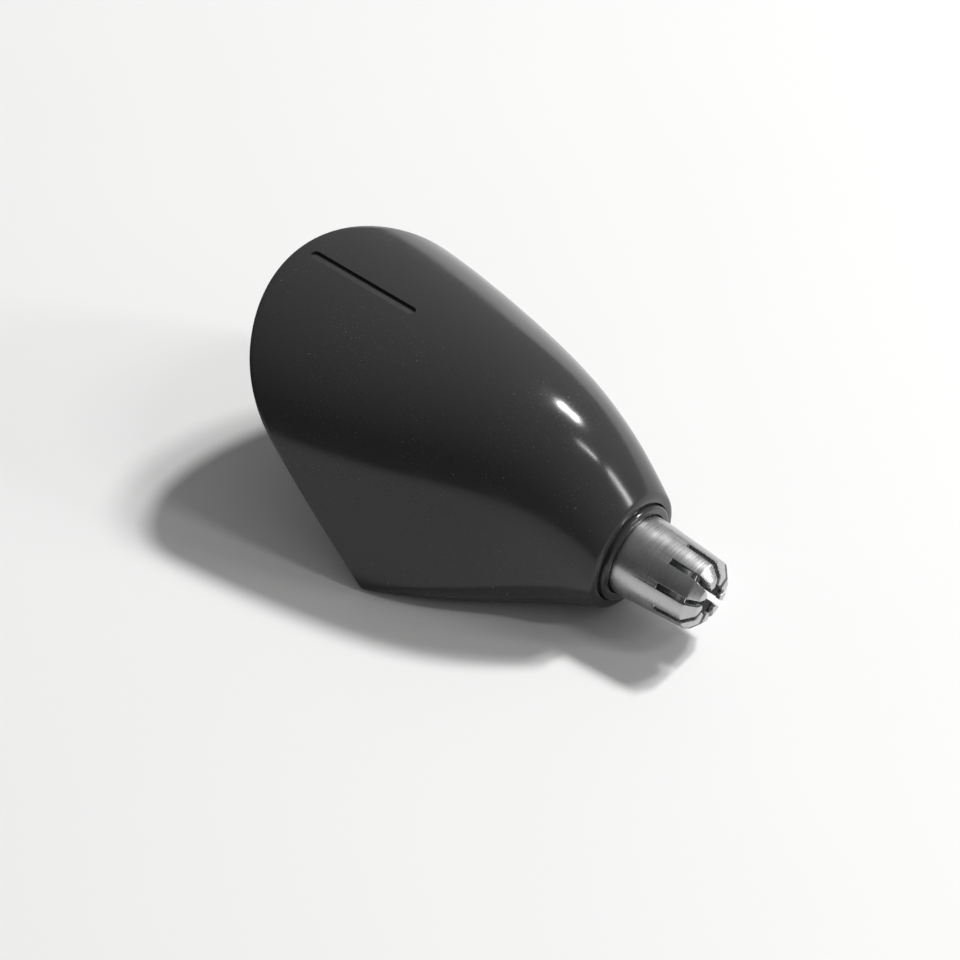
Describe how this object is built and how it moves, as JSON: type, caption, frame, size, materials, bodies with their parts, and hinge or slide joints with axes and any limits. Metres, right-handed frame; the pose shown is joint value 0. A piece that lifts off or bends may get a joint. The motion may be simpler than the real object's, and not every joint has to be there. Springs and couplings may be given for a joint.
{
  "type": "nose hair trimmer",
  "caption": "Click-on rotary nose trimmer head: glossy arched shell with a slanted open rear and a slotted steel barrel over a spinning spring-loaded blade, driven through a small gear pair.",
  "frame": {"origin": "on the flat back, under the middle of the bounding box", "axes": "+X along the blade axis towards the tip, +Y to the side, +Z from the flat back to the arched top"},
  "size_m": [0.0498, 0.032, 0.0199],
  "materials": {
    "gloss_black": "polished moulded ABS with fine dust and hairline scratches",
    "matte_black": "fine spark-eroded texture",
    "grey_acetal": "smooth moulded acetal",
    "white_acetal": "smooth moulded acetal, slightly waxy",
    "brushed_steel": "turned and lightly brushed round the barrel",
    "ground_steel": "ground bright",
    "bronze": "sintered, oil filled",
    "felt": "pressed felt"
  },
  "bodies": {
    "housing": {"top_shell": "gloss_black", "nose_collar": "gloss_black", "back_cover": "matte_black", "gearbox_frame": "matte_black", "bulkhead": "matte_black", "cutter_cage": "brushed_steel", "cage_clip": "ground_steel", "gearbox_screw_left": "ground_steel", "gearbox_screw_right": "ground_steel", "cover_screw_left": "ground_steel", "cover_screw_right": "ground_steel", "cutter_front_bush": "bronze", "drive_front_bush": "bronze", "cutter_rear_bush": "bronze", "drive_rear_bush": "bronze", "hair_seal": "felt"},
    "cutter_train": {"cutter_shaft": "ground_steel", "pinion": "white_acetal", "spring_seat": "ground_steel", "cutter_spring": "ground_steel"},
    "blade_unit": {"blade_carrier": "grey_acetal", "inner_blade": "ground_steel"},
    "drive_train": {"drive_shaft": "ground_steel", "drive_gear": "white_acetal", "drive_coupler": "white_acetal", "drive_circlip": "ground_steel"},
    "latch_left": {"latch_left": "matte_black"},
    "latch_right": {"latch_right": "matte_black"}
  },
  "joints": [
    {"name": "drive_spin", "type": "hinge", "parent": "housing", "child": "drive_train", "pos_m": [-0.00213, 0, 0.0119], "axis": [1, 0, 0], "continuous": true},
    {"name": "cutter_spin", "type": "hinge", "parent": "housing", "child": "cutter_train", "pos_m": [0.01587, 0, 0.0059], "axis": [1, 0, 0], "continuous": true},
    {"name": "blade_float", "type": "slide", "parent": "cutter_train", "child": "blade_unit", "axis": [-1, 0, 0], "range_m": [0, 0.0004], "stiffness_N_per_m": 300, "deforming": ["cutter_spring"]},
    {"name": "latch_left_flex", "type": "hinge", "parent": "housing", "child": "latch_left", "pos_m": [-0.00213, 0.0085, 0.009], "axis": [0, 0, -1], "range_deg": [0, 6], "stiffness_Nm_per_rad": 0.02},
    {"name": "latch_right_flex", "type": "hinge", "parent": "housing", "child": "latch_right", "pos_m": [-0.00213, -0.0085, 0.009], "axis": [0, 0, 1], "range_deg": [0, 6], "stiffness_Nm_per_rad": 0.02}
  ],
  "couplings": [
    {"joint": "cutter_spin", "follows": "drive_spin", "ratio": -1.4}
  ]
}
